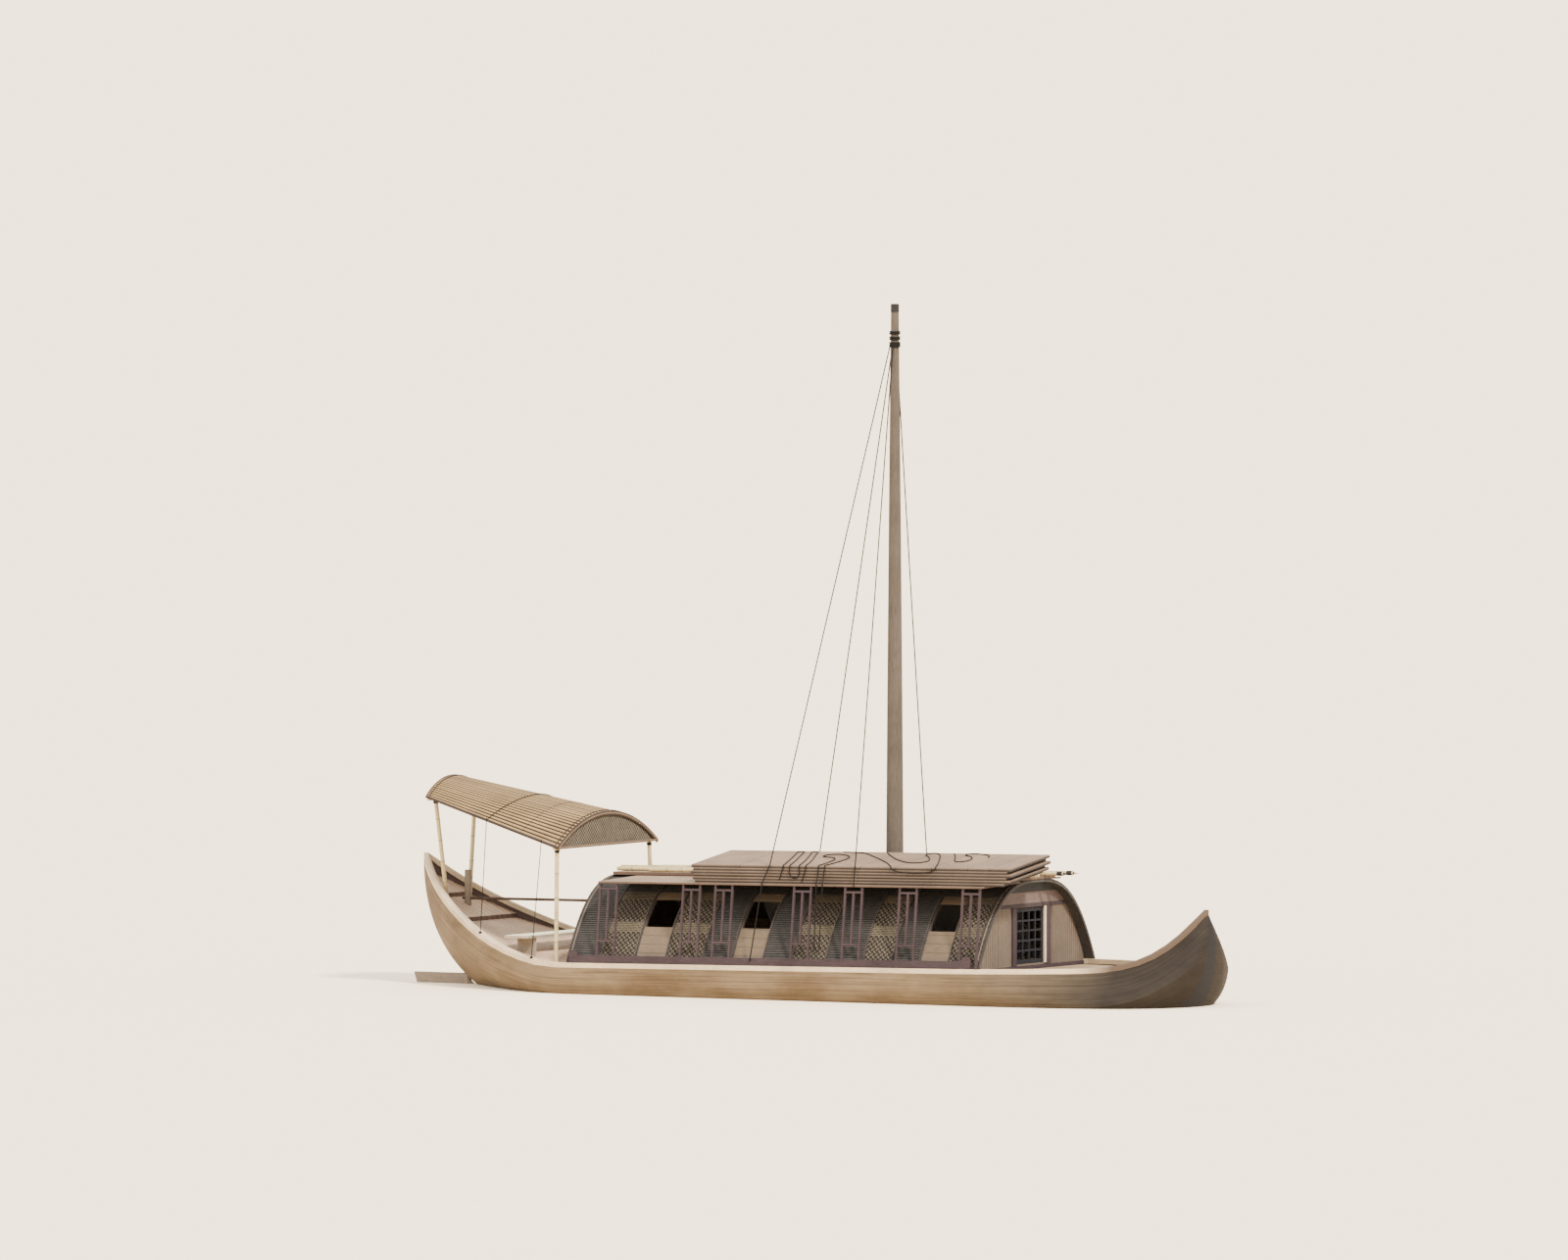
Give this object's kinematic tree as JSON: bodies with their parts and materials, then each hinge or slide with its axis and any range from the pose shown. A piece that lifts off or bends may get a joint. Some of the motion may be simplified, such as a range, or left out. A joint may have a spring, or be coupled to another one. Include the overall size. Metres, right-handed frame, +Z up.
{
  "type": "chinese river junk",
  "caption": "Mat-vaulted river boat with swept pointed ends, a stern canopy on posts, stacked roof boards, poles, rudder and a tall stayed mast",
  "frame": {"origin": "on the centreline at the waterline, below the mast", "axes": "+X to the bow, +Y to port, +Z up"},
  "size_m": [17.1433, 4.54, 13.7],
  "materials": {
    "hull_planking": "bare weathered planking",
    "gunwale_wood": "pale oiled wood",
    "deck_boards": "worn deck boards",
    "mat": "dark woven matting",
    "canopy_mat": "tan split bamboo matting",
    "frame_wood": "mauve brown stained wood",
    "window_boards": "tan boards",
    "panel_wood": "grey brown panelling",
    "roof_boards": "weathered tan boards",
    "bamboo": "pale bamboo with dark nodes",
    "mast_wood": "turned brown spar",
    "rope": "tarred rope",
    "rudder_wood": "wet brown planking",
    "dark_lattice": "near black lattice"
  },
  "bodies": {
    "boat": {"hull": "hull_planking", "gunwale_starboard": "gunwale_wood", "gunwale_port": "gunwale_wood", "foredeck": "deck_boards", "cabin_floor": "deck_boards", "aft_deck_lower": "deck_boards", "aft_deck_middle": "deck_boards", "aft_deck_upper": "deck_boards", "stern_bench": "gunwale_wood", "cabin_vault": "mat", "front_bulkhead": "panel_wood", "aft_bulkhead": "panel_wood", "rack_starboard": "frame_wood", "rack_port": "frame_wood", "roof_shelf_starboard": "roof_boards", "roof_shelf_port": "roof_boards", "roof_ridge_board": "roof_boards", "mast": "mast_wood", "mast_step": "panel_wood", "canopy_mat": "canopy_mat", "canopy_end_panel": "canopy_mat", "canopy_aft_rim": "canopy_mat", "window_1_starboard": "window_boards", "window_1_port": "window_boards", "window_2_starboard": "window_boards", "window_2_port": "window_boards", "window_3_starboard": "window_boards", "window_3_port": "window_boards", "pole_1": "bamboo", "pole_2": "bamboo", "pole_3": "bamboo", "pole_4": "bamboo", "pole_5": "bamboo", "roof_board_1": "roof_boards", "roof_board_2": "roof_boards", "roof_board_3": "roof_boards", "roof_board_4": "roof_boards", "roof_board_5": "roof_boards", "roof_board_6": "roof_boards", "stay_starboard_aft": "rope", "stay_starboard_fore": "rope", "stay_port_aft": "rope", "stay_port_fore": "rope", "canopy_rail_fore": "bamboo", "canopy_post_fore_starboard": "bamboo", "canopy_post_fore_port": "bamboo", "canopy_rail_aft": "bamboo", "canopy_post_aft_starboard": "bamboo", "canopy_post_aft_port": "bamboo", "roof_rope_aft": "rope", "roof_rope_bow": "rope", "roof_rope_fore": "rope", "roof_rope_tail": "rope"},
    "rudder_body": {"rudder": "rudder_wood", "tiller": "mast_wood"},
    "door_body": {"front_door": "dark_lattice"}
  },
  "joints": [
    {"name": "rudder_turn", "type": "hinge", "parent": "boat", "child": "rudder_body", "pos_m": [-9.175, 0, 1], "axis": [0, 0, 1], "range_deg": [-35, 35]},
    {"name": "door_swing", "type": "hinge", "parent": "boat", "child": "door_body", "pos_m": [2.815, 0.6, 1.26], "axis": [0, 0, 1], "range_deg": [0, 85]}
  ]
}
